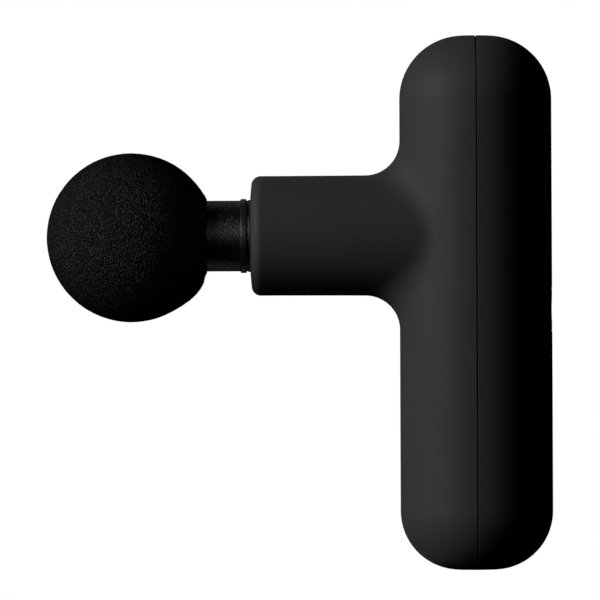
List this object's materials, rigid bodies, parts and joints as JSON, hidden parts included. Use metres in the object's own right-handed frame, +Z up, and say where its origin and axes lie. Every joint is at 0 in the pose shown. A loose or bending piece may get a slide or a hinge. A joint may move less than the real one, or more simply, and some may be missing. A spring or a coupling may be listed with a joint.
{
  "type": "massage gun",
  "caption": "Compact T-shaped massage gun: round upright handle, neck at right angles, and a foam ball head on a short stem driven by a crank and piston.",
  "frame": {"origin": "middle of the charging port's mouth, in the handle's lower end", "axes": "+Z up the handle's axis, +X towards the rear cover and power button, so the head points along -X; +Y to the right seen from behind the gun"},
  "size_m": [0.1401, 0.0468, 0.148],
  "materials": {
    "shell_black": "fine matt soft-touch coating",
    "foam_black": "fine-grained closed-cell foam",
    "stem_black": "semi-gloss moulded, fine texture",
    "ring_black": "satin",
    "seal_black": "matt",
    "button_black": "satin",
    "lens_white": "translucent, smooth",
    "inner_plastic": "moulded",
    "white_plastic": "moulded",
    "steel": "ground",
    "dark_steel": "black oxide",
    "cast_alloy": "as cast",
    "bronze": "sintered",
    "copper": "enamelled wire",
    "nickel": "plated",
    "magnet": "nickel plated",
    "cell_wrap": "shrink film",
    "board_green": "solder mask",
    "chip_black": "moulded",
    "lead_red": "insulated lead",
    "lead_black": "insulated lead"
  },
  "bodies": {
    "housing": {"front_shell": "shell_black", "rear_cover": "shell_black", "housing_screws": "dark_steel", "screw_plugs": "seal_black", "neck_seal": "seal_black", "guide_bush": "bronze", "drive_frame": "cast_alloy", "crankcase_lid": "cast_alloy", "neck_dampers": "seal_black", "chamber_dampers": "seal_black", "motor_plate": "cast_alloy", "motor_screws": "dark_steel", "motor_can": "steel", "motor_end_cap": "cast_alloy", "motor_bearings": "steel", "stator_core": "dark_steel", "stator_windings": "copper", "lead_grommet": "seal_black", "motor_leads": "lead_black", "battery_cell_left": "cell_wrap", "battery_cell_right": "cell_wrap", "cell_holder_lower": "inner_plastic", "cell_holder_upper": "inner_plastic", "cell_bridge_strip": "nickel", "cell_terminal_strips": "nickel", "battery_leads": "lead_red", "control_board": "board_green", "board_screws": "dark_steel", "microcontroller": "chip_black", "power_transistors": "chip_black", "smoothing_capacitors": "nickel", "motor_connector": "white_plastic", "battery_connector": "white_plastic", "indicator_leds": "lens_white", "light_guide": "lens_white", "switch_body": "chip_black", "port_collar": "ring_black", "usb_socket": "nickel", "usb_tongue": "chip_black", "charge_board": "board_green", "charge_leads": "lead_red"},
    "rotor": {"motor_shaft": "steel", "rotor_core": "dark_steel", "rotor_magnets": "magnet", "crank_wheel": "steel", "counterweight": "bronze", "counterweight_screws": "dark_steel"},
    "piston_assembly": {"piston": "stem_black", "wrist_pin": "steel"},
    "rod_assembly": {"connecting_rod": "cast_alloy", "small_end_bush": "bronze", "big_end_bearing": "steel", "crank_pin": "steel"},
    "ball_head": {"head_stem": "stem_black", "stem_ring": "ring_black", "stem_orings": "seal_black", "ball_core": "inner_plastic", "massage_ball": "foam_black"},
    "button": {"power_button": "button_black"},
    "plunger": {"switch_plunger": "inner_plastic"}
  },
  "joints": [
    {"name": "motor_spin", "type": "hinge", "parent": "housing", "child": "rotor", "pos_m": [0, 0, 0.1032], "axis": [0, 0, 1], "continuous": true},
    {"name": "piston_slide", "type": "slide", "parent": "housing", "child": "piston_assembly", "axis": [-1, 0, 0], "range_m": [0, 0.008]},
    {"name": "rod_swing", "type": "hinge", "parent": "piston_assembly", "child": "rod_assembly", "pos_m": [-0.028, 0, 0.0927], "axis": [0, 0, 1], "range_deg": [-7.18, 7.18]},
    {"name": "head_pull", "type": "slide", "parent": "piston_assembly", "child": "ball_head", "axis": [-1, 0, 0], "range_m": [0, 0.024]},
    {"name": "button_press", "type": "slide", "parent": "housing", "child": "button", "axis": [-1, 0, 0], "range_m": [0, 0.0004], "stiffness_N_per_m": 3000, "springref_m": -0.0002},
    {"name": "plunger_press", "type": "slide", "parent": "housing", "child": "plunger", "axis": [-1, 0, 0], "range_m": [0, 0.0004]}
  ],
  "couplings": [
    {"joint": "plunger_press", "follows": "button_press", "ratio": 1}
  ]
}
